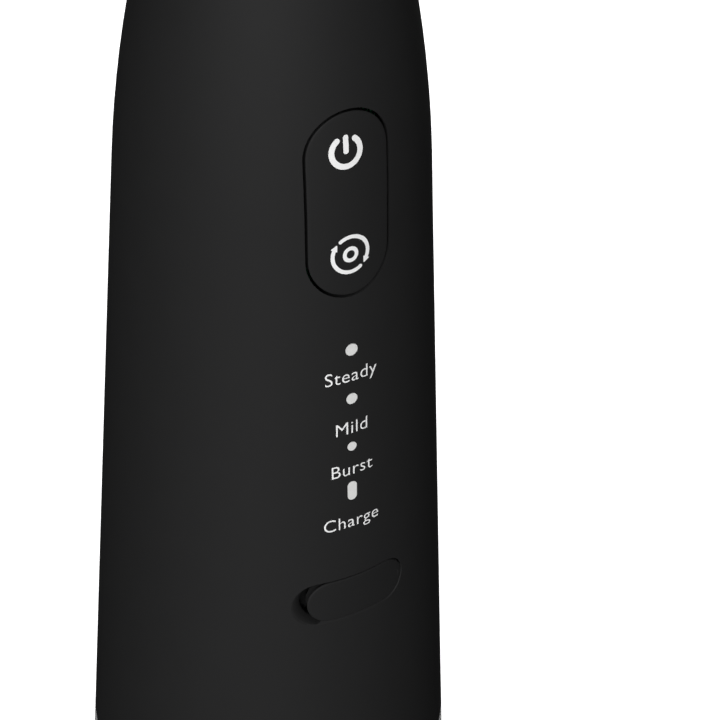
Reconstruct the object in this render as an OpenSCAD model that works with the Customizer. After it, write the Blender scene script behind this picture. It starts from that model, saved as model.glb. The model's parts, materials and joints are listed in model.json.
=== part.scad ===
// Cordless dental water jet: a tapering handle on a water tank, with a turning, lift-off nozzle.
// +Z is up, the front faces -Y and the origin is the centre of the foot's underside.

/* [Body] */
// Height of the seam between the tank and the handle
seam_z = 60; // [56:1:72]
// Height of the handle shell above the seam
shell_h = 162; // [158:1:170]
// Radius of the body level with the middle indicator
grip_r = 26; // [25.5:0.5:31]
// Radius that the body loses per millimetre of height
taper = 0.0615; // [0.055:0.005:0.075]
// Height of the middle indicator above the seam
control_z = 84; // [82:1:90]
// Height above the middle indicator at which the shoulder starts to curve in
shoulder_rise = 30; // [28:1:34]
// Radius of the shoulder's curve
shoulder_r = 200; // [190:10:400]
// Thickness of the handle's wall
wall = 2; // [1.6:0.1:2.2]
// Gap at the seam between the tank and the handle
seam_gap = 0.4; // [0.2:0.1:0.8]

/* [Button pad] */
// Width of the opening for the button pad
pad_w = 14; // [12:0.5:15]
// Height of the opening for the button pad
pad_h = 30; // [27:0.5:32]
// Height of the pad's middle above the middle indicator
pad_rise = 33; // [32:0.5:35]
// Gap around the button pad
pad_gap = 0.35; // [0.25:0.05:0.5]
// Distance of each switch above and below the pad's middle
switch_offset = 8.3; // [7:0.1:9]
// Radius of the pin that the pad rocks on
pad_pin_r = 0.75; // [0.6:0.05:1]

/* [Indicators] */
// Distance between the mode indicators
lens_pitch = 8.75; // [8:0.25:10]
// Radii of the three mode indicators, from the top
lens_r = [1.04, 0.96, 0.81];
// Width of the charge indicator
charge_lens_w = 1.65; // [1.2:0.05:2]
// Height of the charge indicator
charge_lens_h = 3.5; // [3:0.1:4]
// Distance of the charge indicator below the middle mode indicator
charge_drop = 17.1; // [16.5:0.1:19]

/* [Charging port] */
// Width of the recess that the port cover lies in
port_w = 20.3; // [18:0.1:21]
// Height of the recess
port_h = 8.2; // [7:0.1:9]
// Distance of the recess below the middle indicator
port_drop = 37.9; // [36:0.1:40]
// Depth of the recess's flat floor behind the front of the body
port_depth = 4.4; // [4:0.1:5]
// Width of the finger notch beside the cover
notch_w = 2.5; // [2:0.1:3.5]
// Thickness of the rubber cover
cover_t = 1.9; // [1.6:0.1:2.1]
// Gap around the cover
cover_gap = 0.15; // [0.1:0.05:0.3]

/* [Tank] */
// Thickness of the tank's wall
tank_wall = 2.2; // [1.8:0.1:2.6]
// Radius of the round edge at the tank's foot
tank_edge_r = 5; // [3:0.5:7]
// Radius of the rubber foot
foot_r = 27; // [22:0.5:28]
// Thickness of the rubber foot
foot_t = 1.6; // [1.2:0.1:2.4]
// Height of the filler's middle
filler_z = 31; // [29:0.5:33]
// Radius of the filler lid
lid_r = 10.4; // [9.5:0.1:11]
// Radius of the filler hole
filler_r = 8.2; // [7:0.1:8.6]
// Depth of the flat that the filler lid lies on
lid_depth = 2.2; // [2:0.1:2.6]
// Length of the spigot that plugs into the tank
spigot_h = 8; // [7:0.5:10]
// Gap between the spigot and the tank's mouth
spigot_gap = 0.25; // [0.2:0.05:0.5]

/* [Drive] */
// Tooth module of the gear pair
gear_module = 0.6; // [0.55:0.05:0.65]
// Teeth on the motor pinion
pinion_teeth = 12; // [12:1:14]
// Teeth on the crank gear
gear_teeth = 42; // [40:2:44]
// Height of the crank's axis above the seam
crank_z = 26; // [25:1:30]
// Radius of the crank
crank_r = 3; // [2.5:0.25:3.5]
// Length of the connecting rod between its eyes
rod_l = 16; // [15:0.5:18]
// Radius of the pump's bore
bore_r = 4; // [3.5:0.1:4.3]
// Radius of the motor
motor_r = 10; // [9:0.5:10.5]
// Length of the motor's can
motor_l = 25; // [22:1:26]

/* [Power] */
// Radius of the battery cell
cell_r = 9.2; // [9:0.1:9.4]
// Length of the battery cell
cell_l = 65; // [60:1:66]
// Width of the main board
board_w = 18; // [16:0.5:20]
// Thickness of the main board
board_t = 1.2; // [1:0.1:1.6]

/* [Nozzle] */
// Radius of the nozzle's shank
shank_r = 4; // [3.5:0.1:4.4]
// Running clearance around the shank
shank_gap = 0.05; // [0.03:0.01:0.1]
// Radius of the turning dial
dial_r = 13.2; // [12:0.1:13.6]
// Height of the turning dial
dial_h = 7; // [6:0.5:9]
// Radius of the slender tube
jet_r = 2; // [1.6:0.1:2.4]
// Height of the nozzle above the dial, up to its bend
jet_h = 66; // [55:1:80]
// Radius of the tube's bend
bend_r = 6; // [5:0.5:8]
// Angle that the tip turns forward
bend_angle = 72; // [60:1:80]
// Length of the straight tip after the bend
tip_l = 4.5; // [3:0.5:8]

/* [Eject button] */
// Width of the eject button
eject_w = 8; // [7:0.5:9]
// Height of the eject button
eject_h = 11; // [10:0.5:12]
// Height of the eject button above the middle indicator
eject_rise = 57; // [56:0.5:58]
// Travel of the eject button
eject_travel = 1.5; // [1:0.1:1.8]

/* [Hidden] */
$fn = 64;

eps = 0.01;
far = 80;
led_z = seam_z + control_z;
shoulder_z = led_z + shoulder_rise;
shell_z0 = seam_z + seam_gap / 2;
shell_z1 = seam_z + shell_h;
pad_z = led_z + pad_rise;
port_z = led_z - port_drop;
eject_z = led_z + eject_rise;
body_soft = [0.15, 0.15, 0.155];

// Outer radius of the body at a height, without and with the shoulder's curve
function cone_r(z) = grip_r - taper * (z - led_z);
function body_r(z) = cone_r(z) - (z > shoulder_z ? sag(shoulder_r, z - shoulder_z) : 0);
function sag(r, h) = r - sqrt(r * r - h * h);
// Depth of a round surface behind its foremost line, at a sideways distance
function behind(z, x) = sag(body_r(z), x);
function steps(z0, z1, n) = [for (i = [0:n]) z0 + (z1 - z0) * i / n];
function stations(z0, z1) =
    z1 <= shoulder_z ? [z0, z1]
    : z0 >= shoulder_z ? steps(z0, z1, 8)
    : concat([z0], steps(shoulder_z, z1, 12));

// The body's solid between two heights, grown outwards by grow
module body_solid(z0, z1, grow = 0) {
    zs = stations(z0, z1);
    rotate_extrude()
        polygon(concat([[0, z0]], [for (z = zs) [body_r(z) + grow, z]], [[0, z1]]));
}

// A flat shape with round ends: w across, h along
module pill(w, h) {
    r = min(w, h) / 2;
    if (h > w)
        square([w, h - w], center = true);
    if (w > h)
        square([w - h, h], center = true);
    for (s = [-1, 1])
        translate(h > w ? [0, s * (h / 2 - r)] : [s * (w / 2 - r), 0])
            circle(r);
}

// Pushes a flat shape, drawn as seen from the front, from y0 forward to y1
module forward(z, y0, y1) {
    translate([0, y0, z])
        rotate([90, 0, 0])
            linear_extrude(y0 - y1)
                children();
}

module rod_y(x, z, y0, y1, r) {
    translate([x, y1, z])
        rotate([90, 0, 0])
            cylinder(r = r, h = y1 - y0);
}

module rod_x(y, z, half, r) {
    translate([-half, y, z])
        rotate([0, 90, 0])
            cylinder(r = r, h = 2 * half);
}

module slab(x0, x1, y0, y1, z0, z1) {
    translate([x0, y0, z0])
        cube([x1 - x0, y1 - y0, z1 - z0]);
}

// ---------- handle ----------
well_t = 1.6;
port_floor_y = -body_r(port_z) + port_depth;
socket_w = 9;
socket_h = 3.3;
screw_r = 1.25;
screw_count = 3;
boss_r = 3;
boss_h = 10;
base_t = 3;
screw_hole_r = screw_r + 0.15;
screw_head_r = 2.3;
screw_head_h = 1.5;
screw_seat = 1.2;
slot_w = 0.7;
rib_t = 2.4;
inner_r = body_r(seam_z) - wall;
boss_ring_r = inner_r - 6.5;
plate_r = body_r(seam_z + base_t) - wall - 0.15;
cap_skirt_h = 5;

function boss_angle(i) = 90 + 360 / screw_count * i;

module handle_shell() {
    color(body_soft)
    difference() {
        union() {
            difference() {
                body_solid(shell_z0, shell_z1);
                body_solid(shell_z0 - eps, shell_z1 + eps, -wall);
            }
            intersection() {
                body_solid(port_z - port_h, port_z + port_h, -wall / 2);
                forward(port_z, port_floor_y + well_t, -far)
                    pill(port_w + 2 * well_t, port_h + 2 * well_t);
            }
            for (i = [0:screw_count - 1])
                rotate(boss_angle(i))
                    translate([boss_ring_r, 0, shell_z0 + base_t]) {
                        cylinder(r = boss_r, h = boss_h);
                        translate([0, -rib_t / 2, 0])
                            cube([inner_r - boss_ring_r + 0.6, rib_t, boss_h]);
                    }
        }
        forward(pad_z, 0, -far)
            pill(pad_w, pad_h);
        for (i = [0:2])
            rod_y(0, led_z + (1 - i) * lens_pitch, -far, 0, lens_r[i]);
        forward(led_z - charge_drop, 0, -far)
            pill(charge_lens_w, charge_lens_h);
        forward(port_z, port_floor_y, -far)
            pill(port_w, port_h);
        forward(port_z, 0, -far)
            pill(socket_w + 0.3, socket_h + 0.3);
        rod_y(peg_x, port_z, port_floor_y - 1, 0, peg_r);
        forward(eject_z, far, 0)
            pill(eject_w + 0.6, eject_h + 0.6);
        for (i = [0:screw_count - 1])
            rotate(boss_angle(i))
                translate([boss_ring_r, 0, shell_z0 + base_t - eps])
                    cylinder(r = screw_r, h = boss_h - 2);
    }
}

cap_h = 3.4;
cap_z1 = shell_z1 + cap_h;
dial_neck_r = 9;
dial_gap = 0.2;
dial_z0 = cap_z1 + 0.3;
dial_z1 = dial_z0 + dial_h;
neck_h = 8;
socket_bore_r = shank_r + shank_gap;
socket_wall_r = shank_r + 2;

module top_cap() {
    r0 = body_r(shell_z1);
    skirt_r = r0 - wall - 0.4;
    color([0.1, 0.1, 0.105])
    difference() {
        union() {
            translate([0, 0, shell_z1 + 0.05])
                cylinder(r1 = r0, r2 = max(dial_r + 0.9, r0 - 1.3), h = cap_h - 0.05);
            translate([0, 0, shell_z1 - cap_skirt_h])
                cylinder(r = skirt_r - 0.4, h = cap_skirt_h + 0.1);
        }
        translate([0, 0, shell_z1 - cap_skirt_h - eps])
            cylinder(r = dial_neck_r + dial_gap, h = cap_skirt_h + cap_h + 1);
    }
}

mouth_r = body_r(seam_z) - tank_wall;
spigot_r = mouth_r - spigot_gap;
seal_gap = 0.06;
seal_r = 1.1;
groove_d = 2 * seal_r + seal_gap - spigot_gap + 0.05;
seal_z = seam_z - spigot_h / 2;
dip_x = 18;
dip_y = -3;
hose_r = 2.4;
hose_bore_r = 1.2;
hose_plug_r = hose_r - 0.2;
dip_bore_r = hose_r - 0.4;
hose_socket_r = hose_r + 1.2;

module base_plate() {
    color([0.2, 0.2, 0.21])
    difference() {
        union() {
            translate([0, 0, shell_z0])
                cylinder(r = plate_r, h = base_t - 0.1);
            translate([0, 0, seam_z - spigot_h])
                cylinder(r = spigot_r, h = spigot_h + seam_gap);
            translate([dip_x, dip_y, shell_z0])
                cylinder(r = hose_plug_r, h = base_t + 3);
            translate([dip_x, dip_y, seam_z - spigot_h])
                cylinder(r = hose_socket_r, h = spigot_h);
        }
        difference() {
            translate([0, 0, seam_z - spigot_h - eps])
                cylinder(r = spigot_r - 3.4, h = spigot_h - 1.8);
            translate([dip_x, dip_y, seam_z - spigot_h - 1])
                cylinder(r = hose_socket_r, h = spigot_h);
        }
        translate([0, 0, seal_z])
            rotate_extrude()
                translate([spigot_r, 0])
                    square([2 * groove_d, 2 * seal_r + 0.3], center = true);
        translate([dip_x, dip_y, seam_z - spigot_h - 1])
            cylinder(r = hose_bore_r, h = spigot_h + base_t + 8);
        translate([dip_x, dip_y, seam_z - spigot_h - 1])
            cylinder(r = dip_bore_r, h = 6);
        for (i = [0:screw_count - 1])
            rotate(boss_angle(i))
                translate([boss_ring_r, 0, seam_z - spigot_h - 1]) {
                    cylinder(r = screw_hole_r, h = spigot_h + 10);
                    cylinder(r = screw_head_r + 0.3, h = spigot_h + 1 - screw_seat);
                }
    }
}

module base_screws() {
    color("silver")
    for (i = [0:screw_count - 1])
        rotate(boss_angle(i))
            translate([boss_ring_r, 0, seam_z - screw_seat - screw_head_h]) {
                difference() {
                    cylinder(r = screw_head_r, h = screw_head_h);
                    translate([-slot_w / 2, -1.4, -eps])
                        cube([slot_w, 2.8, slot_w]);
                }
                translate([0, 0, screw_head_h - 0.1])
                    cylinder(r = screw_r - 0.05, h = boss_h - 1);
            }
}

module tank_seal() {
    color([0.25, 0.25, 0.25])
    translate([0, 0, seal_z])
        rotate_extrude()
            translate([mouth_r - seal_gap - seal_r, 0])
                circle(seal_r, $fn = 32);
}

// ---------- drive ----------
motor_y0 = -6;
motor_y1 = motor_y0 + motor_l;
can_t = 0.8;
gear_y0 = -11.5;
gear_t = 4;
gear_y1 = gear_y0 + gear_t;
rod_y0 = gear_y1 + 0.3;
rod_t = 3;
rod_y1 = rod_y0 + rod_t;
pump_y = (rod_y0 + rod_y1) / 2;
gear_x = 7;
gear_z = seam_z + crank_z;
mesh_gap = 0.06;
mesh_l = gear_module * (pinion_teeth + gear_teeth) / 2 + mesh_gap;
pinion_x = gear_x - mesh_l;
gear_pitch_r = gear_module * gear_teeth / 2;
pin_r = 1.25;
pin_depth = 1.5;
axle_r = 1.5;
axle_web = 0.3;
axle_end_gap = 0.1;
axle_y1 = gear_y1 - pin_depth - axle_web - axle_end_gap;
shaft_r = 1;
eye_r = 2.7;
run_gap = 0.05;
rod_top_z = gear_z + crank_r + rod_l;
stroke = 2 * crank_r;
stem_z0 = rod_top_z + eye_r + stroke + 0.3;
head_l = 5;
head_r = bore_r - 0.1;
head_z0 = stem_z0 + 1.5;
cylinder_z0 = rod_top_z + eye_r + 1.5;
cylinder_z1 = head_z0 + head_l + 3;
cylinder_wall_r = bore_r + 1.5;
fork_t = 1.6;
fork_y0 = rod_y1 + 0.2;

function polar(r, a) = [r * cos(a), r * sin(a)];
// Angle between a tooth's flank at radius r and at the base circle
function involute(r, base) = r <= base ? 0 : let (t = sqrt(r * r / (base * base) - 1)) t * 180 / PI - atan(t);
function flank(r, teeth, pitch, base) = 90 / teeth - 1.1 * 90 / (PI * pitch * 10) + involute(pitch, base)
    - involute(r, base);

// Outline of a spur gear with involute teeth
module spur(teeth, tip, root) {
    pitch = gear_module * teeth / 2;
    base = pitch * cos(20);
    lowest = pitch - root;
    rs = [for (i = [0:4]) lowest + (pitch + tip - lowest) * i / 4];
    polygon([for (k = [0:teeth - 1])
        each concat(
            [for (r = rs) polar(r, 360 / teeth * k - flank(r, teeth, pitch, base))],
            [for (i = [4:-1:0]) polar(rs[i], 360 / teeth * k + flank(rs[i], teeth, pitch, base))])]);
}

module along_y(x, z, y0, y1) {
    translate([x, y1, z])
        rotate([90, 0, 0])
            linear_extrude(y1 - y0)
                children();
}

module crank_gear() {
    color([0.93, 0.92, 0.88])
    difference() {
        union() {
            along_y(gear_x, gear_z, gear_y0, gear_y1)
                spur(gear_teeth, 0.4, 0.72);
            rod_y(gear_x, gear_z, gear_y0 - 0.6, gear_y0 + 1, axle_r + 1.5);
        }
        rod_y(gear_x, gear_z, gear_y0 - 2, axle_y1 + axle_end_gap, axle_r + run_gap);
        for (a = [0:60:300])
            rotate_about_gear(a + 30)
                rod_y(gear_x, gear_z + gear_pitch_r * 0.62, gear_y0 - 1, gear_y1 + 1, 2);
        rod_y(gear_x, gear_z + crank_r, gear_y1 - pin_depth, gear_y1 + 1, pin_r);
    }
}

module rotate_about_gear(a) {
    translate([gear_x, 0, gear_z])
        rotate([0, a, 0])
            translate([-gear_x, 0, -gear_z])
                children();
}

module crank_pin() {
    color("silver")
        rod_y(gear_x, gear_z + crank_r, gear_y1 - pin_depth, rod_y1 + 0.1, pin_r);
}

module gear_axle() {
    color("silver")
        rod_y(gear_x, gear_z, plate_y0, axle_y1, axle_r);
}

module connecting_rod() {
    color([0.93, 0.92, 0.88])
    difference() {
        union() {
            rod_y(gear_x, gear_z + crank_r, rod_y0, rod_y1, eye_r);
            rod_y(gear_x, rod_top_z, rod_y0, rod_y1, eye_r);
            slab(gear_x - 1.6, gear_x + 1.6, rod_y0, rod_y1, gear_z + crank_r + 1, rod_top_z - 1);
        }
        rod_y(gear_x, gear_z + crank_r, rod_y0 - 1, rod_y1 + 1, pin_r + run_gap);
        rod_y(gear_x, rod_top_z, rod_y0 - 1, rod_y1 + 1, pin_r + run_gap);
    }
}

module piston() {
    color([0.9, 0.9, 0.88])
    difference() {
        union() {
            translate([gear_x, pump_y, head_z0])
                cylinder(r = head_r, h = head_l);
            translate([gear_x, pump_y, stem_z0])
                cylinder(r = bore_r - 0.6, h = head_z0 - stem_z0 + 0.1);
            slab(gear_x - 2.2, gear_x + 2.2, fork_y0, fork_y0 + fork_t, rod_top_z, head_z0);
            rod_y(gear_x, rod_top_z, fork_y0, fork_y0 + fork_t, 2.2);
        }
        translate([gear_x, pump_y, head_z0 + head_l / 2])
            rotate_extrude()
                translate([head_r, 0])
                    square([1.6, 1.6], center = true);
    }
}

module piston_seal() {
    color([0.15, 0.15, 0.15])
    translate([gear_x, pump_y, head_z0 + head_l / 2])
        rotate_extrude()
            translate([bore_r - 0.54, 0])
                square([0.7, 1.4], center = true);
}

module pump_cylinder() {
    color([0.75, 0.77, 0.78])
    translate([gear_x, pump_y, 0])
    difference() {
        union() {
            translate([0, 0, cylinder_z0])
                cylinder(r = cylinder_wall_r, h = cylinder_z1 - cylinder_z0);
            translate([0, 0, cylinder_z1 - 1.6])
                intersection() {
                    cylinder(r = cylinder_wall_r + 2.6, h = 1.6);
                    translate([-far / 2, -cylinder_wall_r, -1])
                        cube([far, 2 * cylinder_wall_r, far]);
                }
        }
        translate([0, 0, cylinder_z0 - 1])
            cylinder(r = bore_r, h = cylinder_z1 - cylinder_z0 + 2);
    }
}

block_z1 = cylinder_z1 + 10.4;
chamber_z0 = cylinder_z1 + 5;
chamber_h = 4.3;
inlet_z = cylinder_z1 + 3;
ball_r = 1.3;
dip_turn = atan2(dip_y - pump_y, dip_x - gear_x);
nipple_l = 2.2;
water_r = 0.8;
inlet_seat = 1.6;
inlet_r = hose_r - 0.5;
outlet_r = 1.5;

module valve_block() {
    color([0.82, 0.83, 0.84])
    difference() {
        union() {
            translate([gear_x, pump_y, cylinder_z1 + 0.02])
                cylinder(r = cylinder_wall_r, h = block_z1 - cylinder_z1);
            translate([gear_x, pump_y, block_z1 - 0.5])
                cylinder(r = outlet_r, h = 4);
            toward_dip()
                cylinder(r = inlet_r, h = cylinder_wall_r + nipple_l);
        }
        translate([gear_x, pump_y, cylinder_z1 - 1])
            cylinder(r = water_r, h = block_z1 - cylinder_z1 + 8);
        translate([gear_x, pump_y, chamber_z0])
            cylinder(r = ball_r + 0.3, h = chamber_h);
        toward_dip() {
            cylinder(r = water_r, h = far);
            translate([0, 0, inlet_seat])
                cylinder(r = ball_r + 0.2, h = 3);
        }
    }
}

// Lays a child's +Z along the line from the pump's inlet to the dip tube
module toward_dip() {
    translate([gear_x, pump_y, inlet_z])
        rotate([0, 90, dip_turn])
            children();
}

module inlet_ball() {
    color("silver")
    toward_dip()
        translate([0, 0, inlet_seat + ball_r + 0.1])
            sphere(r = ball_r, $fn = 32);
}

module outlet_ball() {
    color("silver")
    translate([gear_x, pump_y, chamber_z0 + ball_r + 0.05])
        sphere(r = ball_r, $fn = 32);
}

// A wire wound in a helix along Z, as one closed polyhedron
module coil(r, wire, h, turns, per_turn = 14, sides = 6) {
    n = turns * per_turn;
    function ring(i) = let (a = 360 * i / per_turn, z = wire + (h - 2 * wire) * i / n)
        [for (k = [0:sides - 1]) let (b = 360 * k / sides)
            [(r + wire * cos(b)) * cos(a), (r + wire * cos(b)) * sin(a), z + wire * sin(b)]];
    points = [for (i = [0:n]) each ring(i)];
    sides_faces = [for (i = [0:n - 1], k = [0:sides - 1])
        let (a = i * sides + k, b = i * sides + (k + 1) % sides) [a, a + sides, b + sides, b]];
    caps = [[for (k = [0:sides - 1]) k], [for (k = [sides - 1:-1:0]) n * sides + k]];
    polyhedron(points, concat(sides_faces, caps), convexity = 8);
}

module valve_spring() {
    color("silver")
    translate([gear_x, pump_y, chamber_z0 + 2 * ball_r + 0.1])
        coil(1, 0.14, chamber_h - 2 * ball_r - 0.2, 3);
}

module motor_can() {
    color([0.7, 0.71, 0.73])
    difference() {
        union() {
            rod_y(pinion_x, gear_z, motor_y0, motor_y1, motor_r);
            rod_y(pinion_x, gear_z, motor_y0 - 1.2, motor_y0, 3);
        }
        rod_y(pinion_x, gear_z, motor_y0 - 2, motor_y1 - 2, shaft_r + run_gap);
        rod_y(pinion_x, gear_z, motor_y1 - 3, motor_y1 + 1, motor_r - can_t);
    }
}

module motor_cap() {
    color([0.12, 0.12, 0.12])
    union() {
        rod_y(pinion_x, gear_z, motor_y1 - 2.9, motor_y1, motor_r - can_t - 0.05);
        for (s = [-1, 1])
            slab(pinion_x + s * 5 - 1, pinion_x + s * 5 + 1, motor_y1 - 0.5, motor_y1 + 0.7,
                gear_z - 0.3, gear_z + 0.3);
    }
}

module motor_shaft() {
    color("silver")
        rod_y(pinion_x, gear_z, gear_y0 - 0.6, motor_y1 - 3.2, shaft_r);
}

module pinion() {
    color([0.8, 0.65, 0.3])
    difference() {
        along_y(pinion_x, gear_z, gear_y0 - 0.3, gear_y1 + 0.2)
            rotate(180 / pinion_teeth)
                spur(pinion_teeth, 0.5, 0.72);
        rod_y(pinion_x, gear_z, gear_y0 - 2, gear_y1 + 2, shaft_r);
    }
}

// ---------- chassis ----------
plate_t = 1.8;
plate_x0 = -9.5;
plate_y1 = gear_y0 - 0.8;
plate_y0 = plate_y1 - plate_t;
rack_y0 = -13;
rack_t = 1.4;
rack_y1 = rack_y0 + rack_t;
rack_half = board_w / 2 + 1;
rack_z0 = gear_z + gear_pitch_r + 0.9;
board_y1 = rack_y0 - 0.3;
board_y0 = board_y1 - board_t;
board_z0 = port_z - 4;
board_z1 = led_z + 52;
board_inset = 4;
board_hole_r = 0.7;
cell_y = 9.6;
cell_z0 = gear_z + motor_r + 8;

module chassis() {
    color([0.86, 0.86, 0.84])
    difference() {
        union() {
            slab(plate_x0, 14, plate_y0, plate_y1, shell_z0 + base_t, rack_z0 + 2);
            slab(-rack_half, rack_half, rack_y0, rack_y1, rack_z0, board_z1);
            slab(-rack_half, rack_half, plate_y0, rack_y1, rack_z0, rack_z0 + 2);
            for (z = [cell_z0 + 6, cell_z0 + cell_l - 12])
                cell_clip(z);
            motor_cradle();
            pump_bracket();
        }
        rod_y(gear_x, gear_z, plate_y0 - 1, plate_y1 + 1, axle_r);
        rod_y(pinion_x, gear_z, plate_y0 - 1, plate_y1 + 1, shaft_r + 0.4);
        board_rods(rack_y0 - 1, rack_y1 + 1, board_hole_r);
    }
}

clip_x = gear_x + cylinder_wall_r + 0.6;
clip_t = 2;
clip_h = 5;

// A saddle that holds the cell's sides, on two legs from the rack
module cell_clip(z) {
    difference() {
        slab(-clip_x - clip_t, clip_x + clip_t, cell_y - 4, cell_y + 3.5, z, z + clip_h);
        translate([0, cell_y, z - 1])
            cylinder(r = cell_r + 0.1, h = clip_h + 2);
    }
    for (s = [-1, 1])
        slab(s * (clip_x + clip_t / 2) - clip_t / 2, s * (clip_x + clip_t / 2) + clip_t / 2, rack_y0, cell_y - 3,
            z, z + clip_h);
    for (s = [-1, 1])
        slab(s * (board_w / 2 + clip_x) / 2 - 3, s * (board_w / 2 + clip_x) / 2 + 3, rack_y0, rack_y1,
            z, z + clip_h);
}

module motor_cradle() {
    difference() {
        slab(pinion_x - 7, pinion_x + 7, motor_y0 + 5, motor_y0 + 9, shell_z0 + base_t, gear_z - 4);
        rod_y(pinion_x, gear_z, motor_y0 - 5, motor_y0 + 30, motor_r + 0.02);
    }
    slab(plate_x0, plate_x0 + 4, plate_y0, motor_y0 + 9, shell_z0 + base_t, shell_z0 + base_t + 3);
}

module pump_bracket() {
    difference() {
        slab(gear_x - 7, gear_x + 7, rack_y1 - 0.5, pump_y + 2, cylinder_z1 - 4.6, cylinder_z1 - 1.7);
        translate([gear_x, pump_y, cylinder_z0 - 1])
            cylinder(r = cylinder_wall_r + 0.02, h = far);
    }
}

// A rod at each of the four places where the board is screwed to the rack
module board_rods(y0, y1, r) {
    for (z = [board_z0 + board_inset, board_z1 - board_inset], s = [-1, 1])
        rod_y(s * (board_w / 2 - board_inset / 2), z, y0, y1, r);
}

module chassis_screws() {
    color("silver")
    union() {
        board_rods(board_y0 - 0.9, board_y0, 1.3);
        board_rods(board_y0 - 0.1, rack_y1, board_hole_r - 0.05);
    }
}

// ---------- electronics ----------
module main_board() {
    color([0.05, 0.3, 0.16])
    difference() {
        slab(-board_w / 2, board_w / 2, board_y0, board_y1, board_z0, board_z1);
        board_rods(board_y0 - 1, board_y1 + 1, board_hole_r);
    }
}

module board_chips() {
    color([0.08, 0.08, 0.08])
    union() {
        slab(-7, -2, board_y0 - 1.3, board_y0, led_z - 6, led_z + 1);
        slab(3, 7, board_y0 - 1, board_y0, led_z + 5, led_z + 8);
        slab(3.4, 6.6, board_y0 - 1.2, board_y0, led_z - 27, led_z - 24);
        slab(-6.6, -4, board_y0 - 1.6, board_y0, led_z - 22, led_z - 17);
    }
}

led_size = 1.6;

module indicator_leds() {
    color("white")
    for (dz = [lens_pitch, 0, -lens_pitch, -charge_drop])
        slab(-led_size / 2, led_size / 2, board_y0 - 0.8, board_y0, led_z + dz - led_size / 2,
            led_z + dz + led_size / 2);
}

switch_h = 3;
plunger_h = 1;

module tact_switch(z) {
    slab(-3, 3, board_y0 - switch_h, board_y0, z - 3, z + 3);
    rod_y(0, z, board_y0 - switch_h - plunger_h, board_y0 - switch_h + 0.1, 1.6);
}

module power_switch() {
    color([0.2, 0.2, 0.2])
    tact_switch(pad_z + switch_offset);
}

module mode_switch() {
    color([0.2, 0.2, 0.2])
    tact_switch(pad_z - switch_offset);
}

module charge_socket() {
    color([0.78, 0.78, 0.8])
    union() {
        difference() {
            forward(port_z, board_y0, port_floor_y + 0.3)
                pill(socket_w, socket_h);
            forward(port_z, board_y0 - 2, -far)
                pill(socket_w - 0.7, socket_h - 0.7);
        }
        forward(port_z, board_y0 - 1.5, port_floor_y + 1)
            square([socket_w - 2.4, 0.7], center = true);
    }
}

module battery_cell() {
    color([0.12, 0.35, 0.62])
    union() {
        translate([0, cell_y, cell_z0])
            cylinder(r = cell_r, h = cell_l);
        translate([0, cell_y, cell_z0 + cell_l - 0.1])
            cylinder(r = 3, h = 1);
    }
}

module battery_tabs() {
    color("silver")
    union() {
        for (z = [cell_z0 - 0.3, cell_z0 + cell_l + 0.92])
            slab(-2.5, 2.5, cell_y - cell_r - 2, cell_y + 3, z, z + 0.28);
    }
}

// A lens pushed from just in front of its light to the skin of the body
module lens(z) {
    color([0.88, 0.88, 0.88])
    intersection() {
        body_solid(z - 8, z + 8, 0.05);
        forward(z, board_y0 - 1.2, -far)
            children();
    }
}

module mode_lens_large() lens(led_z + lens_pitch) circle(lens_r[0] - 0.03);
module mode_lens_medium() lens(led_z) circle(lens_r[1] - 0.03);
module mode_lens_small() lens(led_z - lens_pitch) circle(lens_r[2] - 0.03);
module charge_lens() lens(led_z - charge_drop) pill(charge_lens_w - 0.06, charge_lens_h - 0.06);

// ---------- button pad ----------
pad_t = 2.3;
pad_back_y = -body_r(pad_z) + pad_t;
pad_pin_y = pad_back_y + 2.3;
lug_half = 3.6;
stub_gap = 0.45;
stub_end_y = board_y0 - switch_h - plunger_h - stub_gap;

module button_pad() {
    color(body_soft)
    difference() {
        union() {
            intersection() {
                difference() {
                    body_solid(pad_z - pad_h, pad_z + pad_h, 0.1);
                    body_solid(pad_z - pad_h - 1, pad_z + pad_h + 1, -pad_t);
                }
                forward(pad_z, 0, -far)
                    pill(pad_w - 2 * pad_gap, pad_h - 2 * pad_gap);
            }
            intersection() {
                body_solid(pad_z - pad_h, pad_z + pad_h, -pad_t / 2);
                union() {
                    for (s = [-1, 1])
                        rod_y(0, pad_z + s * switch_offset, -far, stub_end_y, 1.5);
                    slab(-lug_half, lug_half, -far, pad_pin_y, pad_z - 1.6, pad_z + 1.6);
                }
            }
            rod_x(pad_pin_y, pad_z, lug_half, 1.6);
        }
        rod_x(pad_pin_y, pad_z, far, pad_pin_r + run_gap);
    }
}

module pad_pin() {
    color("silver")
        rod_x(pad_pin_y, pad_z, lug_half + 2, pad_pin_r);
}

module pad_bracket() {
    color([0.86, 0.86, 0.84])
    difference() {
        union() {
            slab(-lug_half - 1.8, lug_half + 1.8, board_y0 - 1, board_y0 - 0.02, pad_z - 3, pad_z + 3);
            for (s = [-1, 1])
                slab(s * (lug_half + 1) - 0.8, s * (lug_half + 1) + 0.8, pad_pin_y - 1.4, board_y0 - 0.02,
                    pad_z - 1.6, pad_z + 1.6);
        }
        rod_x(pad_pin_y, pad_z, far, pad_pin_r);
    }
}

// ---------- port cover ----------
// The rubber bends at its straight part: the flap swings there, and the end beyond it is held by a peg
hinge_r = cover_t / 2;
hinge_x = port_w / 2 - port_h / 2 - 0.5;
hinge_y = -body_r(port_z) + behind(port_z, hinge_x) + hinge_r;
cover_x0 = -port_w / 2 + notch_w;
cover_x1 = port_w / 2 - cover_gap;
bend_slot = 0.4;
anchor_x0 = hinge_x + hinge_r + bend_slot;
peg_x = anchor_x0 + 1.4;
peg_r = 1.1;
lip_x = -0.4;
lip_w = socket_w + 1.6;
lip_h = socket_h + 1.6;
lip_wall = 0.9;

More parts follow.
